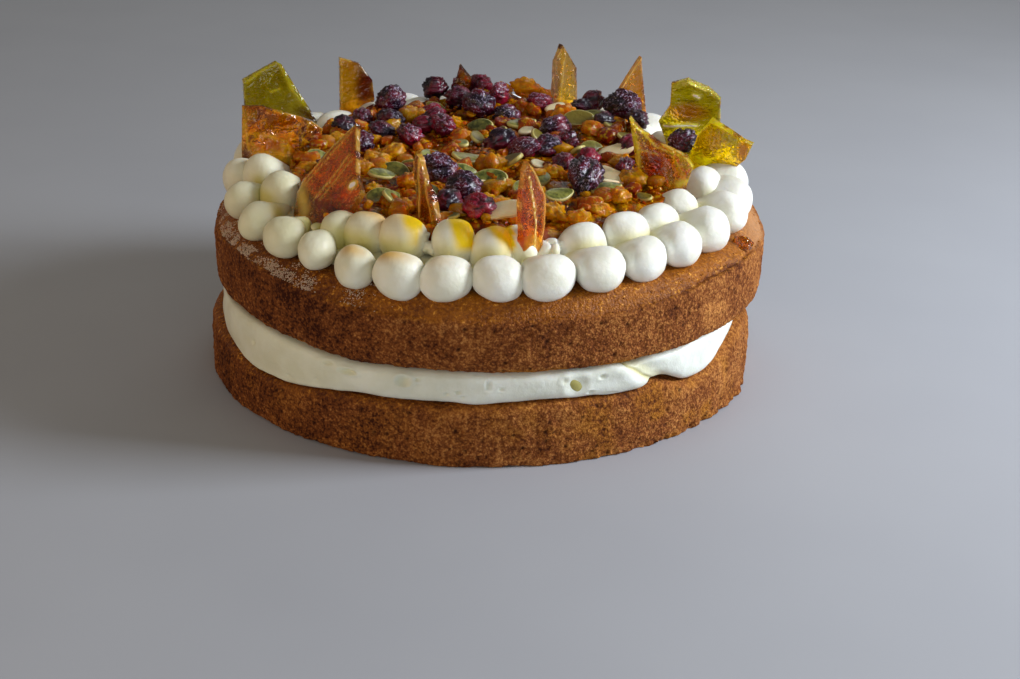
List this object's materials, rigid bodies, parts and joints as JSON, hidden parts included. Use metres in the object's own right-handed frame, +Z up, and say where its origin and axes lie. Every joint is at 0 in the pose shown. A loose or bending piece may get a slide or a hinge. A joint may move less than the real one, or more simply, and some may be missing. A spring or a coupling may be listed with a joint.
{
  "type": "layered sponge cake",
  "caption": "Round sponge cake of two layers with cream between, a piped cream border, and a fruit, seed and clear brittle topping.",
  "frame": {"origin": "centre of the cake's underside, where it rests", "axes": "+Z up out of the topping, -Y towards the front, +X to the right seen from the front"},
  "size_m": [0.2324, 0.2304, 0.1193],
  "materials": {
    "sponge_crumb": "matte brown sponge crumb",
    "sponge_crust": "matte golden brown baked crust",
    "filling_cream": "soft satin cream",
    "piped_cream": "soft satin cream",
    "fruit_heap": "sticky amber glaze with dried fruit and seeds",
    "clear_brittle": "glossy clear amber sugar"
  },
  "bodies": {
    "root": {"sponge_bottom": "sponge_crumb", "cream_filling": "filling_cream", "sponge_top": "sponge_crust", "cream_border": "piped_cream", "topping_heap": "fruit_heap", "brittle_olive": "clear_brittle", "brittle_crinkled": "clear_brittle", "brittle_ridged": "clear_brittle", "brittle_upright": "clear_brittle", "brittle_tip": "clear_brittle", "brittle_blade": "clear_brittle", "brittle_spike": "clear_brittle", "brittle_green": "clear_brittle", "brittle_yellow": "clear_brittle", "brittle_amber": "clear_brittle", "brittle_thin_left": "clear_brittle", "brittle_thin_right": "clear_brittle"}
  },
  "joints": []
}
